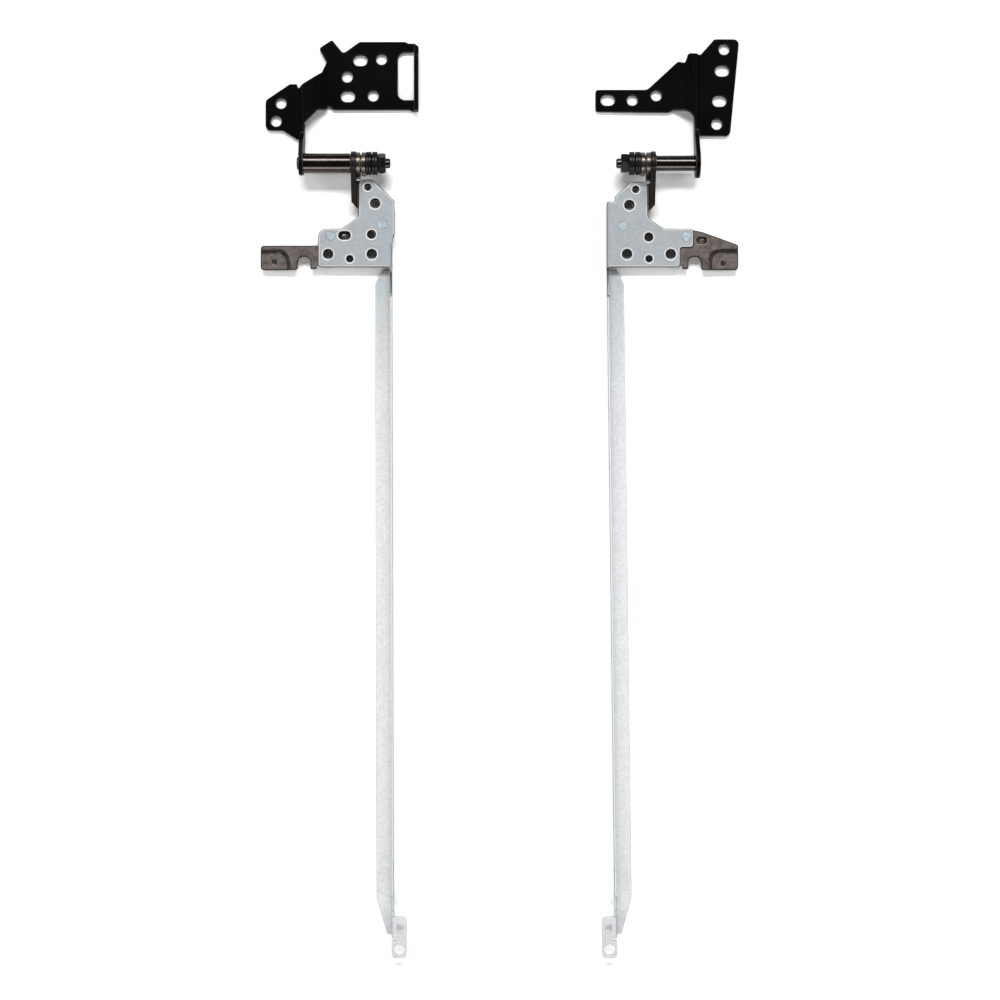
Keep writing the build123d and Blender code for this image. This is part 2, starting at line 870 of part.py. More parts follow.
def right_base_sheet():
    """Right bracket without its ear."""
    section = folded_base("right", -right_arm_tip - beyond)
    folded = along_y(section, 0, right_outer_high[1] + beyond)
    return folded & along_z(right_base_outline(), -beyond, beyond)


def base_bracket(side):
    """Folded bracket screwed to the laptop's base, with the ear that holds the shaft."""
    if side == "left":
        sheet = left_base_sheet()
        holes = left_base_holes
        slots = left_base_slots
    else:
        sheet = right_base_sheet()
        holes = right_base_holes
        slots = right_base_slots
    bracket = sheet + base_ear_piece(side)
    bracket -= on_shaft(Circle(journal / 2 + press_gap), ear_face, ear_outer_face)
    for place in holes:
        bracket -= round_hole(place, base_hole)
    for place in slots:
        bracket -= slot_hole(place, base_slot_length, base_hole)
    return bracket


def hinge(side):
    """Pieces of one hinge by name, in the hinge's own frame."""
    pieces = {
        "base_bracket": base_bracket(side),
        "hinge_shaft": hinge_shaft(side),
        "inner_friction_washer": flat_washer(side, "inner_washer"),
        "hinge_arm": hinge_arm(side),
        "stop_plate": stop_plate(side),
        "outer_friction_washer": flat_washer(side, "outer_washer"),
        "stop_washer": stop_washer_piece(side),
        "lock_nut": lock_nut(side),
        "rail_bracket": rail_bracket(side),
        "rivets": rivets(side),
    }
    for number, washer in enumerate(spring_washers(side), start=1):
        pieces[f"spring_washer_{number}"] = washer
    return pieces


def pair():
    """All pieces of both hinges, centred over the origin and standing on the table."""
    placed = {}
    for name, piece in hinge("left").items():
        placed[f"left_{name}"] = Pos(-web_spacing / 2, 0, 0) * mirror(piece, Plane.YZ)
    for name, piece in hinge("right").items():
        placed[f"right_{name}"] = Pos(web_spacing / 2, 0, 0) * piece
    whole = Compound(children=[Compound(piece.solids()) for piece in placed.values()])
    reach = whole.bounding_box()
    middle = reach.center()
    shift = Pos(-middle.X, -middle.Y, -reach.min.Z)
    return shift, {name: shift * piece for name, piece in placed.items()}


shift, parts = pair()
os.makedirs("parts", exist_ok=True)
for name, piece in parts.items():
    export_step(piece, f"parts/{name}.step")
print("moved by", shift.position)
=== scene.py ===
import json
from math import pi, radians

import bpy
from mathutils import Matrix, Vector


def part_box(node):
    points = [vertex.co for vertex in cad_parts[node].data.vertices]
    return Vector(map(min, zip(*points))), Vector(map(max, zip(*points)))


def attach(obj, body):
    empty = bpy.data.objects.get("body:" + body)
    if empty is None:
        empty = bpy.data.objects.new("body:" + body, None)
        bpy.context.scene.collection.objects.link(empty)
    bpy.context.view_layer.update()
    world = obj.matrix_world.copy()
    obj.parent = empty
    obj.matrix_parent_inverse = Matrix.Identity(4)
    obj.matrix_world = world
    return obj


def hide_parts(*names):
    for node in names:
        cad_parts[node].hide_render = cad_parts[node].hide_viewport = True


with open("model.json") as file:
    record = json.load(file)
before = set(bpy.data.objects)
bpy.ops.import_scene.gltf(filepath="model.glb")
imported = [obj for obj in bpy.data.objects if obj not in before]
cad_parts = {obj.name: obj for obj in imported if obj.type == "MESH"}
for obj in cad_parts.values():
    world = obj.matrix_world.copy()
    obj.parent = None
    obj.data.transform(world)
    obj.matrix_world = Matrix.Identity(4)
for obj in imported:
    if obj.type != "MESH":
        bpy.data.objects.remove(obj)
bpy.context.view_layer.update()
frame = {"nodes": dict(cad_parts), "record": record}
mm = 0.001
cornerAngle = 35  # degrees between two faces that make an edge sharp
sameLevel = 0.01 * mm  # heights this close are one height
facesUp, leansUp = 0.95, 0.5  # upward share of a face's normal
edgeFinish, sameFinish = 1, -1  # a piece's second finish is that of its edges; -1 changes nothing
bodyOf = {
    node: body
    for body, members in frame["record"]["behaviour"]["bodies"].items()
    for node in members
}
print("frame loaded:", len(frame["nodes"]), "CAD nodes")


# ways of working

meshWork = {
    "looseGap": 0.002 * mm, "flatAngle": 0.4, "smoothAngle": 38, "flatWeight": 80, "collarSides": 48,
    "strayIn": 0.45, "strayOut": 0.004 * mm,  # a share of the roll's width, and a length
}


def pickOnly(piece):
    bpy.ops.object.select_all(action="DESELECT")
    piece.select_set(True)
    bpy.context.view_layer.objects.active = piece


def copyNode(node):
    mesh = frame["nodes"][node].data.copy()
    mesh.name = f"{node}_dressed"
    mesh.materials.clear()
    piece = bpy.data.objects.new(f"{node}_dressed", mesh)
    bpy.context.scene.collection.objects.link(piece)
    pickOnly(piece)
    if mesh.has_custom_normals:
        bpy.ops.mesh.customdata_custom_splitnormals_clear()
    bpy.ops.object.mode_set(mode="EDIT")
    bpy.ops.mesh.select_all(action="SELECT")
    bpy.ops.mesh.remove_doubles(threshold=meshWork["looseGap"])  # the CAD triangles come loose
    bpy.ops.mesh.dissolve_limited(angle_limit=radians(meshWork["flatAngle"]))  # flat faces back to one each
    bpy.ops.object.mode_set(mode="OBJECT")
    return piece


def addFinishes(piece, *finishes):
    for finish in finishes:
        piece.data.materials.append(finish)


def moveVerts(piece, test, move):
    pickOnly(piece)
    bpy.ops.object.mode_set(mode="EDIT")
    bpy.ops.mesh.select_mode(type="VERT")
    bpy.ops.mesh.select_all(action="DESELECT")
    bpy.ops.object.mode_set(mode="OBJECT")
    picked = 0
    for vert in piece.data.vertices:
        vert.select = bool(test(vert))
        picked += vert.select
    bpy.ops.object.mode_set(mode="EDIT")
    if picked:
        move()
    bpy.ops.object.mode_set(mode="OBJECT")


def sharpEdges(piece, sharpest=cornerAngle):
    piece.data.update()
    verts = piece.data.vertices
    sides = {}
    for poly in piece.data.polygons:
        ring = list(poly.vertices)
        for a, b in zip(ring, ring[1:] + ring[:1]):
            inward = poly.normal.cross(verts[b].co - verts[a].co)
            sides.setdefault((min(a, b), max(a, b)), []).append((poly.normal.copy(), inward))
    found = {}
    for edge in piece.data.edges:
        faces = sides.get(tuple(sorted(edge.vertices)), [])
        if len(faces) != 2:
            continue
        (first, inward), (second, _) = faces
        if first.angle(second, 0) > radians(sharpest) and second.dot(inward) < 0:  # outer corners
            found[edge.index] = (first, second)
    return found


def smallLoops(piece, edges, widest):
    links = {}
    for index in edges:
        a, b = piece.data.edges[index].vertices
        links.setdefault(a, []).append((b, index))
        links.setdefault(b, []).append((a, index))
    loops = []
    seen = set()
    for start in links:
        if start in seen:
            continue
        group, ring, waiting = set(), set(), [start]
        while waiting:
            vert = waiting.pop()
            if vert in group:
                continue
            group.add(vert)
            for other, index in links[vert]:
                ring.add(index)
                waiting.append(other)
        seen |= group
        places = [piece.data.vertices[v].co for v in group]
        low = Vector([min(p[k] for p in places) for k in range(3)])
        high = Vector([max(p[k] for p in places) for k in range(3)])
        if max(high - low) < widest:
            loops.append((ring, (low + high) / 2, min((high - low)[:2])))
    return loops


def edgeEnds(piece, index):
    return [piece.data.vertices[v].co for v in piece.data.edges[index].vertices]


def edgesWhere(piece, edges, test):
    return [index for index in edges if all(test(place) for place in edgeEnds(piece, index))]


def atLevel(height):
    return lambda place: abs(place.z - height) < sameLevel


def rollEdges(piece, width, steps, shares, finish, slack=meshWork["strayOut"]):
    pickOnly(piece)
    bpy.ops.object.duplicate()
    before = bpy.context.active_object  # the shape before rolling, to pull stray corners back to
    pickOnly(piece)
    weights = piece.data.attributes.get("bevel_weight_edge")
    if weights:
        piece.data.attributes.remove(weights)
    weights = piece.data.attributes.new("bevel_weight_edge", "FLOAT", "EDGE")
    for index, share in shares.items():
        weights.data[index].value = share
    roll = piece.modifiers.new("roll", "BEVEL")
    roll.width = width
    roll.segments = steps
    roll.limit_method = "WEIGHT"
    roll.use_clamp_overlap = False
    roll.material = finish
    bpy.ops.object.modifier_apply(modifier=roll.name)
    strays = 0
    for vert in piece.data.vertices:
        hit, place, normal, _ = before.closest_point_on_mesh(vert.co)
        away = vert.co - place
        if hit and (away.length > meshWork["strayIn"] * width or away.dot(normal) > slack):
            vert.co = place
            strays += 1
    pickOnly(before)
    bpy.ops.object.delete()
    pickOnly(piece)
    return strays


def rollAll(piece, width, steps, finish):
    return rollEdges(piece, width, steps, {index: 1.0 for index in sharpEdges(piece)}, finish)


def addCollar(piece, middle, radius, reach, wall, finish):
    bpy.ops.object.select_all(action="DESELECT")
    bpy.ops.mesh.primitive_cylinder_add(
        vertices=meshWork["collarSides"], radius=radius, depth=reach[1] - reach[0], end_fill_type="NOTHING",
        location=(middle.x, middle.y, (reach[0] + reach[1]) / 2),
    )
    collar = bpy.context.active_object
    skin = collar.modifiers.new("skin", "SOLIDIFY")
    skin.thickness = wall
    skin.offset = 1  # outwards, the bore stays as it is
    bpy.ops.object.modifier_apply(modifier=skin.name)
    bpy.ops.object.transform_apply(location=True, rotation=False, scale=False)
    addFinishes(collar, *piece.data.materials)
    for poly in collar.data.polygons:
        poly.material_index = finish
    pickOnly(piece)
    collar.select_set(True)
    bpy.ops.object.join()


def smoothOut(piece):
    pickOnly(piece)
    bpy.ops.object.shade_smooth_by_angle(angle=radians(meshWork["smoothAngle"]))
    evenOut = piece.modifiers.new("even", "WEIGHTED_NORMAL")
    evenOut.keep_sharp = True
    evenOut.weight = meshWork["flatWeight"]
    bpy.ops.object.modifier_apply(modifier=evenOut.name)


def settle(piece, node):
    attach(piece, bodyOf[node])
    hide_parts(node)


# finishes

finishWork = {
    "fineDetail": 4.0, "broadDetail": 3.0, "fineSpan": (0.3, 0.7), "wornSpan": (0.35, 0.65), "wornMost": 0.5,
    "mottleSpan": (0.25, 0.75), "zincRoughSpan": (0.2, 0.8), "sideSpan": (0.05, 0.4), "bump": 0.5,
    "railSpan": (-140 * mm, 100 * mm),  # along the rails, for the zinc's tones
}


def startFinish(name, metallic, roughness, specular):
    finish = bpy.data.materials.new(name)
    finish.use_nodes = True
    tree = finish.node_tree
    shader = tree.nodes["Principled BSDF"]
    shader.inputs["Metallic"].default_value = metallic
    shader.inputs["Roughness"].default_value = roughness
    shader.inputs["Specular IOR Level"].default_value = specular
    coords = tree.nodes.new("ShaderNodeTexCoord")
    return finish, tree, shader, coords.outputs["Object"]


def noiseOn(tree, coords, scale, detail, stretch=(1, 1, 1)):
    mapping = tree.nodes.new("ShaderNodeMapping")
    mapping.inputs["Scale"].default_value = stretch
    tree.links.new(coords, mapping.inputs["Vector"])
    noise = tree.nodes.new("ShaderNodeTexNoise")
    noise.inputs["Scale"].default_value = scale
    noise.inputs["Detail"].default_value = detail
    tree.links.new(mapping.outputs["Vector"], noise.inputs["Vector"])
    return noise.outputs["Fac"]


def cellsOn(tree, coords, scale):
    cells = tree.nodes.new("ShaderNodeTexVoronoi")
    cells.inputs["Scale"].default_value = scale
    tree.links.new(coords, cells.inputs["Vector"])
    tone = tree.nodes.new("ShaderNodeSeparateColor")
    tree.links.new(cells.outputs["Color"], tone.inputs["Color"])
    return tone.outputs["Red"]


def spreadOn(tree, value, low, high, toLow, toHigh):
    spread = tree.nodes.new("ShaderNodeMapRange")
    for socket, number in zip(("From Min", "From Max", "To Min", "To Max"), (low, high, toLow, toHigh)):
        spread.inputs[socket].default_value = number
    tree.links.new(value, spread.inputs["Value"])
    return spread.outputs["Result"]


def addOn(tree, first, second, operation="ADD"):
    both = tree.nodes.new("ShaderNodeMath")
    both.operation = operation
    tree.links.new(first, both.inputs[0])
    tree.links.new(second, both.inputs[1])
    return both.outputs[0]


def blendOn(tree, share, dark, light):
    blend = tree.nodes.new("ShaderNodeMix")
    blend.data_type = "RGBA"
    tree.links.new(share, blend.inputs["Factor"])
    for socket, colour in (("A", dark), ("B", light)):
        target = [i for i in blend.inputs if i.name == socket and i.type == "RGBA"][0]
        if isinstance(colour, tuple):
            target.default_value = (*colour, 1)
        else:
            tree.links.new(colour, target)
    return [o for o in blend.outputs if o.type == "RGBA"][0]


def rampOn(tree, value, stops):
    ramp = tree.nodes.new("ShaderNodeValToRGB")
    points = ramp.color_ramp.elements
    while len(points) < len(stops):
        points.new(0.5)
    for point, (place, colour) in zip(points, stops):
        point.position = place
        point.color = (*colour, 1)
    tree.links.new(value, ramp.inputs["Fac"])
    return ramp.outputs["Color"]


def bumpOn(tree, shader, height, strength, distance):
    bump = tree.nodes.new("ShaderNodeBump")
    bump.inputs["Strength"].default_value = strength
    bump.inputs["Distance"].default_value = distance
    tree.links.new(height, bump.inputs["Height"])
    tree.links.new(bump.outputs["Normal"], shader.inputs["Normal"])


def darkFinish(name, look):
    finish, tree, shader, coords = startFinish(name, look["metallic"], look["rough"][0], look["specular"])
    fine = noiseOn(tree, coords, look["grain"], finishWork["fineDetail"], look["stretch"])
    broad = noiseOn(tree, coords, look["patches"], finishWork["broadDetail"])
    colour = blendOn(tree, spreadOn(tree, fine, *finishWork["fineSpan"], 0, 1), look["dark"], look["light"])
    worn = spreadOn(tree, broad, *finishWork["wornSpan"], 0, finishWork["wornMost"])
    colour = blendOn(tree, worn, colour, look["worn"])
    tree.links.new(colour, shader.inputs["Base Color"])
    tree.links.new(spreadOn(tree, broad, *finishWork["fineSpan"], *look["rough"]), shader.inputs["Roughness"])
    bumpOn(tree, shader, fine, finishWork["bump"], look["relief"])
    return finish


def zincFinish(name, look):
    finish, tree, shader, coords = startFinish(name, look["metallic"], look["rough"][0], look["specular"])
    place = tree.nodes.new("ShaderNodeSeparateXYZ")
    tree.links.new(coords, place.inputs[0])
    along = spreadOn(tree, place.outputs["Y"], *finishWork["railSpan"], 0, 1)
    tone = rampOn(tree, along, look["tones"])  # brighter along the rail than on the plate
    fine = noiseOn(tree, coords, look["grain"], finishWork["fineDetail"])
    spangle = cellsOn(tree, coords, look["spangle"])
    mottle = addOn(tree, fine, spreadOn(tree, spangle, 0, 1, -look["cells"], look["cells"]))
    kept = spreadOn(tree, mottle, *finishWork["mottleSpan"], 1 - look["mottle"], 1)
    dim = blendOn(tree, kept, (0, 0, 0), tone)
    if "side" in look:  # painted shade: upright faces are darker than the flat sheet
        tiltForShade = tree.nodes.new("ShaderNodeSeparateXYZ")
        tree.links.new(coords.node.outputs["Normal"], tiltForShade.inputs[0])
        flat = addOn(tree, tiltForShade.outputs["Z"], tiltForShade.outputs["Z"], "MULTIPLY")
        dim = blendOn(tree, spreadOn(tree, flat, *finishWork["sideSpan"], 0, 1), look["side"], dim)
    tree.links.new(dim, shader.inputs["Base Color"])
    rough = spreadOn(tree, mottle, *finishWork["zincRoughSpan"], *look["rough"])
    tree.links.new(rough, shader.inputs["Roughness"])
    bumpOn(tree, shader, fine, finishWork["bump"], look["relief"])
    return finish


blackCoat = darkFinish("black coat", {
    "dark": (0.0014, 0.0010, 0.0010), "light": (0.0026, 0.0019, 0.0018), "worn": (0.0032, 0.0023, 0.0022),
    "metallic": 0.0, "specular": 0.034, "rough": (0.30, 0.40), "grain": 2600, "stretch": (1, 1, 1),
    "patches": 90, "relief": 0.004 * mm,
})
blackEdge = darkFinish("black coat edge", {
    "dark": (0.004, 0.0035, 0.0034), "light": (0.008, 0.007, 0.0066), "worn": (0.014, 0.012, 0.011),
    "metallic": 0.0, "specular": 0.5, "rough": (0.28, 0.38), "grain": 2200, "stretch": (1, 1, 1),
    "patches": 140, "relief": 0.004 * mm,
})
zincTones = (
    (0.00, (0.69, 0.71, 0.725)), (0.045, (0.70, 0.72, 0.735)), (0.08, (0.82, 0.845, 0.855)),
    (0.25, (0.86, 0.88, 0.89)), (0.55, (0.86, 0.88, 0.895)), (0.72, (0.79, 0.815, 0.835)),
    (0.86, (0.56, 0.59, 0.615)), (0.875, (0.408, 0.433, 0.455)),
)
# painted shade: the sheet's side colour darkens its upright faces
zincSheet = zincFinish("galvanised sheet", {
    "tones": zincTones, "metallic": 0.08, "specular": 0.3, "rough": (0.5, 0.62), "grain": 2400,
    "spangle": 1300, "cells": 0.16, "mottle": 0.16, "relief": 0.010 * mm, "side": (0.075, 0.10, 0.10),
})
# painted highlight: coined rims and the rolls inside the plate's edges are painted far lighter than the
# plate's sheet
zincRimHighlight = zincFinish("coined zinc with painted highlight", {
    "tones": ((0.0, (0.78, 0.79, 0.80)), (1.0, (0.78, 0.79, 0.80))), "metallic": 0.1, "specular": 0.5,
    "rough": (0.3, 0.4), "grain": 2400, "spangle": 1300, "cells": 0.08, "mottle": 0.08, "relief": 0.004 * mm,
})
# painted shade: the rails' sheared edges, bare cut steel, and the collars under the plate's holes are painted
# near black
zincCutShade = zincFinish("sheared zinc with painted shade", {
    "tones": ((0.0, (0.026, 0.028, 0.023)), (1.0, (0.026, 0.028, 0.023))), "metallic": 0.1, "specular": 0.1,
    "rough": (0.45, 0.6), "grain": 2400, "spangle": 1300, "cells": 0.1, "mottle": 0.3, "relief": 0.004 * mm,
})
brownSteel = darkFinish("brown phosphate", {
    "dark": (0.058, 0.044, 0.039), "light": (0.156, 0.130, 0.119), "worn": (0.19, 0.163, 0.150),
    "metallic": 0.35, "specular": 0.4, "rough": (0.42, 0.56), "grain": 1000, "stretch": (1, 1, 1),
    "patches": 420, "relief": 0.02 * mm,
})
# painted shade: the arm's rolled edges are painted much darker than its face
brownEdgeShade = darkFinish("brown phosphate edge with painted shade", {
    "dark": (0.007, 0.006, 0.0055), "light": (0.016, 0.013, 0.012), "worn": (0.028, 0.023, 0.021),
    "metallic": 0.2, "specular": 0.2, "rough": (0.42, 0.56), "grain": 1200, "stretch": (1, 1, 1),
    "patches": 380, "relief": 0.01 * mm,
})
# painted shade: the recess slope, the slot's walls and the clip holes' collars are painted darker than the
# face
brownSlopeShade = darkFinish("brown slope with painted shade", {
    "dark": (0.014, 0.0107, 0.0096), "light": (0.029, 0.0233, 0.0212), "worn": (0.040, 0.032, 0.029),
    "metallic": 0.3, "specular": 0.3, "rough": (0.42, 0.56), "grain": 1000, "stretch": (1, 1, 1),
    "patches": 420, "relief": 0.02 * mm,
})
# painted highlight: the tab's hole rims are painted lighter than its face
brownRimHighlight = darkFinish("brown rim with painted highlight", {
    "dark": (0.13, 0.112, 0.09), "light": (0.22, 0.195, 0.165), "worn": (0.26, 0.235, 0.205),
    "metallic": 0.5, "specular": 0.4, "rough": (0.38, 0.5), "grain": 1200, "stretch": (1, 1, 1),
    "patches": 420, "relief": 0.01 * mm,
})
# painted shade: the ear, brown phosphate like the arm, is painted nearly black
earShade = darkFinish("brown ear with painted shade", {
    "dark": (0.005, 0.0042, 0.004), "light": (0.012, 0.010, 0.009), "worn": (0.022, 0.018, 0.016),
    "metallic": 0.4, "specular": 0.3, "rough": (0.34, 0.46), "grain": 1200, "stretch": (1, 1, 1),
    "patches": 300, "relief": 0.01 * mm,
})
darkPin = darkFinish("ground pin", {
    "dark": (0.045, 0.039, 0.036), "light": (0.07, 0.062, 0.058), "worn": (0.08, 0.07, 0.066),
    "metallic": 1.0, "specular": 0.5, "rough": (0.16, 0.22), "grain": 700, "stretch": (6, 1, 1),
    "patches": 160, "relief": 0.002 * mm,
})
bronzeStop = darkFinish("tempered bronze brown", {
    "dark": (0.07, 0.054, 0.042), "light": (0.14, 0.115, 0.095), "worn": (0.22, 0.19, 0.16),
    "metallic": 1.0, "specular": 0.5, "rough": (0.26, 0.38), "grain": 1500, "stretch": (1, 1, 1),
    "patches": 420, "relief": 0.008 * mm,
})
washerSteel = darkFinish("oiled washer", {
    "dark": (0.05, 0.043, 0.038), "light": (0.10, 0.09, 0.082), "worn": (0.14, 0.127, 0.115),
    "metallic": 1.0, "specular": 0.5, "rough": (0.28, 0.4), "grain": 1500, "stretch": (1, 1, 1),
    "patches": 420, "relief": 0.006 * mm,
})
blueSpring = darkFinish("blued spring", {
    "dark": (0.011, 0.012, 0.014), "light": (0.022, 0.0245, 0.028), "worn": (0.031, 0.035, 0.040),
    "metallic": 0.9, "specular": 0.4, "rough": (0.28, 0.4), "grain": 1300, "stretch": (1, 1, 1),
    "patches": 380, "relief": 0.006 * mm,
})
blackNut = darkFinish("black nut", {
    "dark": (0.012, 0.0105, 0.010), "light": (0.028, 0.025, 0.024), "worn": (0.04, 0.036, 0.034),
    "metallic": 0.9, "specular": 0.4, "rough": (0.28, 0.4), "grain": 1500, "stretch": (1, 1, 1),
    "patches": 380, "relief": 0.006 * mm,
})
brightRivet = zincFinish("bright rivet", {
    "tones": ((0.0, (0.48, 0.565, 0.625)), (1.0, (0.48, 0.565, 0.625))), "metallic": 0.3, "specular": 0.5,
    "rough": (0.42, 0.54), "grain": 1800, "spangle": 1100, "cells": 0.2, "mottle": 0.3, "relief": 0.012 * mm,
})
# painted shade: the rivets' rolled edges are painted darker than their heads
rivetRingShade = zincFinish("rivet ring with painted shade", {
    "tones": ((0.0, (0.20, 0.235, 0.26)), (1.0, (0.20, 0.235, 0.26))), "metallic": 0.3, "specular": 0.4,
    "rough": (0.42, 0.54), "grain": 1800, "spangle": 1100, "cells": 0.2, "mottle": 0.3, "relief": 0.012 * mm,
})
print("finishes made")


# black base brackets

baseBracket = {"slot": "black_bracket", "roll": 0.2 * mm, "steps": 3}
for side in ("left", "right"):
    node = f"{side}_base_bracket"
    piece = copyNode(node)
    addFinishes(piece, blackCoat, blackEdge)
    strays = rollAll(piece, baseBracket["roll"], baseBracket["steps"], edgeFinish)
    smoothOut(piece)
    settle(piece, node)
    print(node, "rolled,", strays, "strays pulled back")


# galvanised rails: sheared outer edges painted near black as painted shade, and a roll inside them and coined
# rims round the plate's holes painted light as painted highlight

railBracket = {
    "slot": "galvanised_sheet", "cut": 0.3 * mm, "railCut": 0.14 * mm, "rim": 0.4 * mm, "roll": 0.12 * mm,
    "cutSteps": 1, "steps": 3, "top": 4.0 * mm, "widest": 4.6 * mm, "plateFrom": 68.8 * mm,
    "rivetBore": 3.02 * mm, "slotBore": 2.6 * mm, "boreGap": 0.03 * mm, "slotGap": 0.02 * mm,
    "collar": {"reach": (0.2 * mm, 3.45 * mm), "wall": 0.2 * mm, "under": 3.4 * mm},
    "slit": {"along": 76.61 * mm, "past": 0.3 * mm, "above": 3.3 * mm, "across": 35.0 * mm, "near": 0.9 * mm,
             "fill": -0.48 * mm},
}
slit = railBracket["slit"]  # beside the left rail's fold, pressed shut
coinedHighlightFinish = 2  # a place in the rail's list of finishes, the coined finish with painted highlight


def onSlit(vert):
    past = vert.co.y - slit["along"]
    inReach = vert.co.z > slit["above"] and abs(vert.co.x) < slit["across"]
    return inReach and -sameLevel < past < slit["past"]


def nearSlit(place):
    return abs(place.y - slit["along"]) < slit["near"] and abs(place.x) < slit["across"]


def onPlate(place):
    return place.y > railBracket["plateFrom"]


def isRivetBore(across):
    return abs(across - railBracket["rivetBore"]) <= railBracket["boreGap"]


for side in ("left", "right"):
    node = f"{side}_rail_bracket"
    piece = copyNode(node)
    addFinishes(piece, zincSheet, zincCutShade, zincRimHighlight)
    if side == "left":
        moveVerts(piece, onSlit, lambda: bpy.ops.transform.translate(value=(0, slit["fill"], 0)))
    sharp = sharpEdges(piece)
    holeEdges = set()  # round the plate's holes, which aren't sheared
    for ring, middle, across in smallLoops(piece, sharp, railBracket["widest"]):
        if onPlate(middle):
            holeEdges |= ring
    upward = {index for index, faces in sharp.items() if max(faces[0].z, faces[1].z) > facesUp} - holeEdges
    if side == "left":
        upward -= set(edgesWhere(piece, upward, nearSlit))
    lower = edgesWhere(piece, holeEdges, atLevel(railBracket["collar"]["under"]))
    bores = [
        (middle, across / 2) for ring, middle, across in smallLoops(piece, lower, railBracket["widest"])
        if not isRivetBore(across) and abs(across - railBracket["slotBore"]) > railBracket["slotGap"]
    ]
    plate = set(edgesWhere(piece, upward, onPlate))
    narrow = railBracket["railCut"] / railBracket["cut"]
    shares = {index: 1.0 if index in plate else narrow for index in upward}
    strays = rollEdges(piece, railBracket["cut"], railBracket["cutSteps"], shares, edgeFinish)
    upper = edgesWhere(piece, sharpEdges(piece), atLevel(railBracket["top"]))
    shares = {}
    for ring, middle, across in smallLoops(piece, upper, railBracket["widest"]):
        if onPlate(middle) and not isRivetBore(across):
            shares.update({index: 1.0 for index in ring})
    for index, (first, second) in sharpEdges(piece).items():
        if index not in shares and max(first.z, second.z) > facesUp and min(first.z, second.z) > leansUp:
            shares[index] = railBracket["roll"] / railBracket["rim"]
    if side == "left":
        for index in edgesWhere(piece, list(shares), nearSlit):
            shares.pop(index)
    strays += rollEdges(piece, railBracket["rim"], railBracket["steps"], shares, coinedHighlightFinish)
    collar = railBracket["collar"]
    for middle, radius in bores:  # drawn down through the arm's wider holes, in the near-black cut finish as painted shade
        addCollar(piece, middle, radius, collar["reach"], collar["wall"], edgeFinish)
    print(node, len(bores), "collars drawn down")
    smoothOut(piece)
    settle(piece, node)
    print(node, "rolled,", strays, "strays pulled back")


# brown arms: dished tab with a slope in painted shade, hole rims with painted highlight, ear in painted shade

hingeArm = {
    "slot": "brown_steel", "edge": 0.3 * mm, "ear": 0.15 * mm, "rim": 0.26 * mm, "steps": 3, "edgeAngle": 50,
    "plate": 3.4 * mm, "recess": 2.9 * mm, "under": 1.9 * mm, "black": 3.45 * mm, "outerReach": 39.4 * mm,
    "tabFrom": 21.5 * mm, "earFrom": 3.8 * mm, "earTop": 5.0 * mm, "widest": 4.0 * mm,
    "corner": (34.0 * mm, -28.8 * mm), "cornerRadius": 3.2 * mm, "onRing": 0.02 * mm, "slope": 0.4 * mm,
    "drawn": {"plate": 0.3 * mm, "recess": -0.9 * mm},
    "slotHole": {"widest": 9.0 * mm, "longer": 0.8 * mm, "upright": 0.1, "shrunk": 0.4},
    "clip": {"under": 1.4 * mm, "reach": (0.2 * mm, 1.45 * mm), "wall": 0.2 * mm},
    "tuck": {"move": 0.45 * mm, "within": 2.4 * mm, "from": 85.0 * mm, "below": 3.5 * mm},
}
slopeShadeFinish, rimHighlightFinish, earShadeFinish = 2, 3, 4  # places in the arm's list of finishes
axisPlace = frame["record"]["behaviour"]["joints"][0]["pos_m"]


def slideRing(piece, height, offset, outward, corner):
    radius, close = hingeArm["cornerRadius"], hingeArm["onRing"]

    def onRing(place):
        across = outward * (place.x - corner[0])
        along = place.y - corner[1]
        if abs(place.z - height) > sameLevel:
            return None
        if across <= 0 and along >= 0 and abs((across ** 2 + along ** 2) ** 0.5 - radius) < close:
            return "arc"
        if across > 0 and abs(along - radius) < close:
            return "top"
        if along < 0 and abs(across + radius) < close:
            return "side"
        return None

    moves = {
        "arc": lambda: bpy.ops.transform.resize(
            value=(1 + offset / radius, 1 + offset / radius, 1), center_override=(*corner, height)
        ),
        "top": lambda: bpy.ops.transform.translate(value=(0, offset, 0)),
        "side": lambda: bpy.ops.transform.translate(value=(-outward * offset, 0, 0)),
    }
    kinds = {vert.index: onRing(vert.co) for vert in piece.data.vertices}
    for kind, move in moves.items():
        moveVerts(piece, lambda vert: kinds[vert.index] == kind, move)
    return {index for index, name in kinds.items() if name}


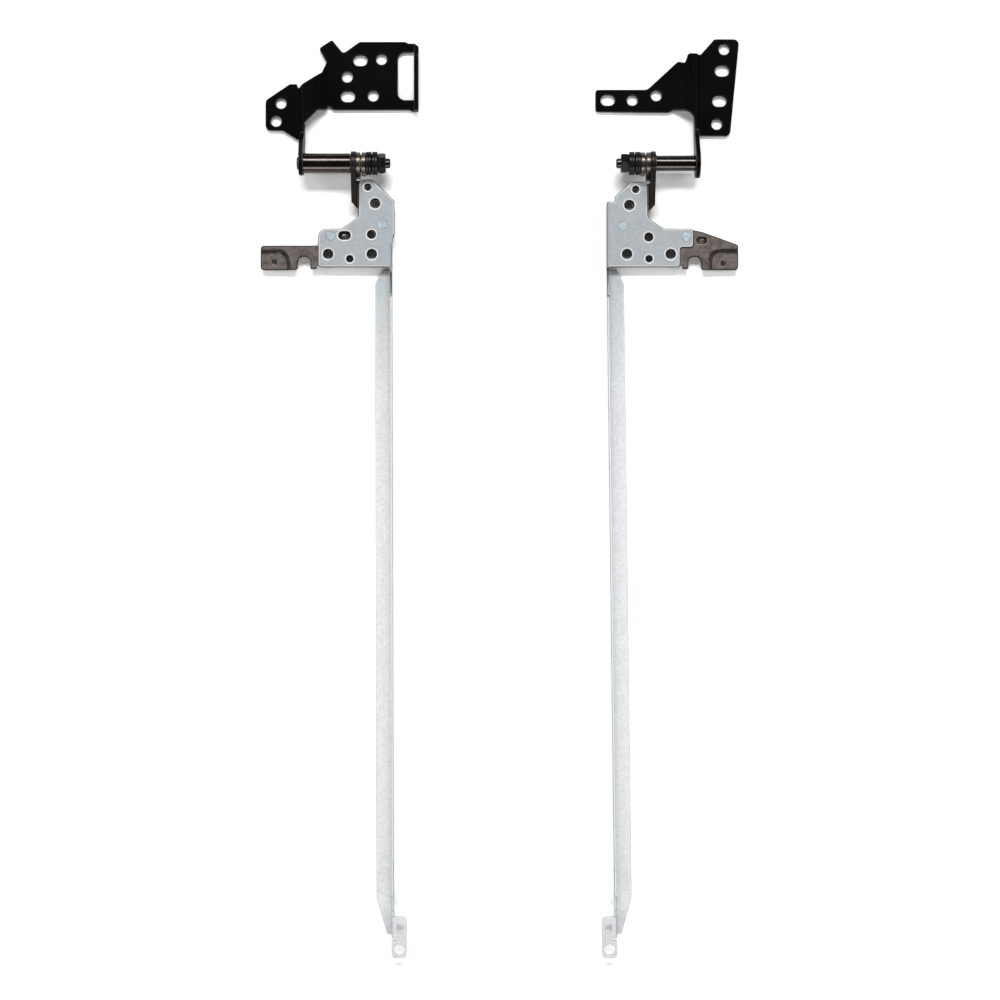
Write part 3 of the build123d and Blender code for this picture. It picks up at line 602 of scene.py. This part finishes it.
for side, outward in (("left", -1), ("right", 1)):
    node = f"{side}_hinge_arm"
    piece = copyNode(node)
    addFinishes(piece, brownSteel, brownEdgeShade, brownSlopeShade, brownRimHighlight, earShade)
    web = outward * (max(abs(place[0]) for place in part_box(node)) - hingeArm["outerReach"])
    corner = (web + outward * hingeArm["corner"][0], axisPlace[1] + hingeArm["corner"][1])

    def onTab(place):
        return outward * (place.x - web) > hingeArm["tabFrom"]

    slotHole = hingeArm["slotHole"]
    edges = edgesWhere(piece, sharpEdges(piece), atLevel(hingeArm["under"]))
    for ring, middle, across in smallLoops(piece, edges, slotHole["widest"]):
        spots = {v for index in ring for v in piece.data.edges[index].vertices}
        spread = [piece.data.vertices[v].co.x for v in spots]
        if max(spread) - min(spread) <= across + slotHole["longer"]:
            continue
        for poly in piece.data.polygons:  # the slot runs in to a narrow foot, its walls painted darker as painted shade
            if abs(poly.normal.z) < slotHole["upright"] and sum(v in spots for v in poly.vertices) > 1:
                poly.material_index = slopeShadeFinish
        moveVerts(
            piece, lambda vert: vert.index in spots,
            lambda: bpy.ops.transform.resize(
                value=(slotHole["shrunk"], slotHole["shrunk"], 1), center_override=middle
            ),
        )
    clip = hingeArm["clip"]
    edges = edgesWhere(piece, sharpEdges(piece), atLevel(clip["under"]))
    clipHoles = [
        (middle, across / 2) for ring, middle, across in smallLoops(piece, edges, hingeArm["widest"])
        if onTab(middle)
    ]
    if side == "right":  # the neck stays behind the plate's edge
        tuck = hingeArm["tuck"]
        moveVerts(
            piece,
            lambda vert: vert.co.x - web < tuck["within"] and vert.co.y > tuck["from"]
            and vert.co.z < tuck["below"],
            lambda: bpy.ops.transform.translate(value=(tuck["move"], 0, 0)),
        )

    drawnRing = set()
    for level, offset in hingeArm["drawn"].items():
        drawnRing |= slideRing(piece, hingeArm[level], offset, outward, corner)
    slopeEdges = {}
    for edge in piece.data.edges:
        first, second = edgeEnds(piece, edge.index)
        if all(v in drawnRing for v in edge.vertices) and abs(first.z - second.z) < sameLevel:
            slopeEdges[edge.index] = 1.0
    print(node, "recess drawn out,", len(drawnRing), "places,", len(slopeEdges), "edges")
    # painted shade on the recess slope
    for poly in piece.data.polygons:
        if all(v in drawnRing for v in poly.vertices):
            poly.material_index = slopeShadeFinish
    slope = hingeArm["slope"]
    strays = rollEdges(piece, slope, hingeArm["steps"], slopeEdges, sameFinish, slope)

    upper = edgesWhere(piece, sharpEdges(piece), lambda place: place.z > hingeArm["recess"] - sameLevel)
    tabHoles = {}
    for ring, middle, across in smallLoops(piece, upper, hingeArm["widest"]):
        if onTab(middle):
            tabHoles.update({index: 1.0 for index in ring})
    # painted highlight on the tab's hole rims
    strays += rollEdges(piece, hingeArm["rim"], hingeArm["steps"], tabHoles, rimHighlightFinish)

    # painted shade: the tab's and ear's rolled edges take the dark edge finish
    shares = {}
    for index in sharpEdges(piece, hingeArm["edgeAngle"]):
        ends = edgeEnds(piece, index)
        heights = [place.z for place in ends]
        if all(onTab(place) for place in ends):
            shares[index] = 1.0
        elif min(heights) > hingeArm["earFrom"] and max(heights) > hingeArm["earTop"]:
            shares[index] = hingeArm["ear"] / hingeArm["edge"]
    strays += rollEdges(piece, hingeArm["edge"], hingeArm["steps"], shares, edgeFinish)
    # the clip holes' collars take the slope's painted shade
    for middle, radius in clipHoles:
        addCollar(piece, middle, radius, clip["reach"], clip["wall"], slopeShadeFinish)
    print(node, len(clipHoles), "clip hole drawn down")
    # painted shade: faces above the plate, the ear, are painted nearly black
    for poly in piece.data.polygons:
        if poly.center.z > hingeArm["black"]:
            poly.material_index = earShadeFinish
    smoothOut(piece)
    settle(piece, node)
    print(node, "rolled,", strays, "strays pulled back")


# pieces on the shaft, and the rivets

stackPieces = {
    "hinge_shaft": {"slot": "dark_shaft", "roll": 0.08 * mm, "steps": 2, "finish": darkPin},
    "stop_plate": {"slot": "bronze_stop", "roll": 0.14 * mm, "steps": 3, "finish": bronzeStop},
    "stop_washer": {"slot": "bronze_stop", "roll": 0.14 * mm, "steps": 3, "finish": bronzeStop},
    "inner_friction_washer": {
        "slot": "friction_washer", "roll": 0.03 * mm, "steps": 2, "finish": washerSteel,
    },
    "outer_friction_washer": {
        "slot": "friction_washer", "roll": 0.05 * mm, "steps": 2, "finish": washerSteel,
    },
    "lock_nut": {"slot": "dark_nut", "roll": 0.07 * mm, "steps": 2, "finish": blackNut},
    "rivets": {
        "slot": "bright_rivet", "roll": 0.1 * mm, "steps": 2, "finish": brightRivet, "edge": rivetRingShade,
    },
}
for number in (1, 2, 3, 4):
    stackPieces[f"spring_washer_{number}"] = {
        "slot": "blue_spring", "roll": 0.12 * mm, "steps": 3, "finish": blueSpring,
    }
stubFinish = 2  # a place in the shaft's list of finishes
for side in ("left", "right"):
    for part, make in stackPieces.items():
        node = f"{side}_{part}"
        piece = copyNode(node)
        addFinishes(piece, make["finish"], make.get("edge", make["finish"]), blackNut)
        rollAll(piece, make["roll"], make["steps"], edgeFinish)
        if part == "hinge_shaft":
            nutEnd = min(abs(place[0]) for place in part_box(f"{side}_lock_nut"))
            for poly in piece.data.polygons:
                if abs(poly.center.x) < nutEnd:  # the stub past the nut is black
                    poly.material_index = stubFinish
        smoothOut(piece)
        settle(piece, node)
    print(side, "stack dressed")


# floor, light and camera

studioFloor = {"size": 2.0, "lit": (0.6, 0.6, 0.6), "shown": (1.3, 1.3, 1.3)}
bpy.ops.object.select_all(action="DESELECT")
bpy.ops.mesh.primitive_plane_add(size=studioFloor["size"], location=(0, 0, 0))
floor = bpy.context.active_object
floor.name = "studio_floor"
pale = bpy.data.materials.new("pale floor")
pale.use_nodes = True
tree = pale.node_tree
tree.nodes.clear()
path = tree.nodes.new("ShaderNodeLightPath")
shown = addOn(tree, path.outputs["Is Camera Ray"], path.outputs["Is Glossy Ray"], "MAXIMUM")
shown = addOn(tree, shown, path.outputs["Is Transmission Ray"], "MAXIMUM")
paint = tree.nodes.new("ShaderNodeBsdfDiffuse")
tree.links.new(blendOn(tree, shown, studioFloor["lit"], studioFloor["shown"]), paint.inputs["Color"])
out = tree.nodes.new("ShaderNodeOutputMaterial")
tree.links.new(paint.outputs[0], out.inputs["Surface"])
floor.data.materials.append(pale)

studioAir = {"fill": 0.06, "shown": 1.0}
world = bpy.data.worlds.new("studio")
bpy.context.scene.world = world
world.use_nodes = True
tree = world.node_tree
tree.nodes.clear()
path = tree.nodes.new("ShaderNodeLightPath")
air = tree.nodes.new("ShaderNodeBackground")
air.inputs["Color"].default_value = (1, 1, 1, 1)
dimOrShown = spreadOn(tree, path.outputs["Is Camera Ray"], 0, 1, studioAir["fill"], studioAir["shown"])
tree.links.new(dimOrShown, air.inputs["Strength"])
out = tree.nodes.new("ShaderNodeOutputWorld")
tree.links.new(air.outputs[0], out.inputs["Surface"])

softboxes = {
    "key": {"at": (0, 1.0, 1.35), "size": (1.3, 0.34), "radiance": 16.8},
    "left side": {"at": (-1.1, 0, 0.6), "size": (0.5, 0.9), "radiance": 3.9},
    "right side": {"at": (1.1, 0, 0.6), "size": (0.5, 0.9), "radiance": 3.9},
    "front": {"at": (0, -1.1, 0.6), "size": (0.9, 0.5), "radiance": 4.4},
}
lampsAim = Vector((0, 0.04, 0))
for name, box in softboxes.items():
    lamp = bpy.data.lights.new(name, "AREA")
    lamp.shape = "RECTANGLE"
    lamp.size, lamp.size_y = box["size"]
    lamp.energy = box["radiance"] * pi * lamp.size * lamp.size_y
    obj = bpy.data.objects.new(name, lamp)
    bpy.context.scene.collection.objects.link(obj)
    obj.location = box["at"]
    obj.rotation_euler = (lampsAim - obj.location).to_track_quat("-Z", "Y").to_euler()

photoView = {"height": 0.7, "plane": 3 * mm, "across": 0.3, "middle": (0, -0.59 * mm)}
cameraData = bpy.data.cameras.new("photo view")
cameraData.lens = cameraData.sensor_width * photoView["height"] / photoView["across"]
camera = bpy.data.objects.new("photo view", cameraData)
bpy.context.scene.collection.objects.link(camera)
camera.location = (*photoView["middle"], photoView["height"] + photoView["plane"])
bpy.context.scene.camera = camera
bpy.context.scene.view_settings.view_transform = "Standard"
print("floor, light and camera set")
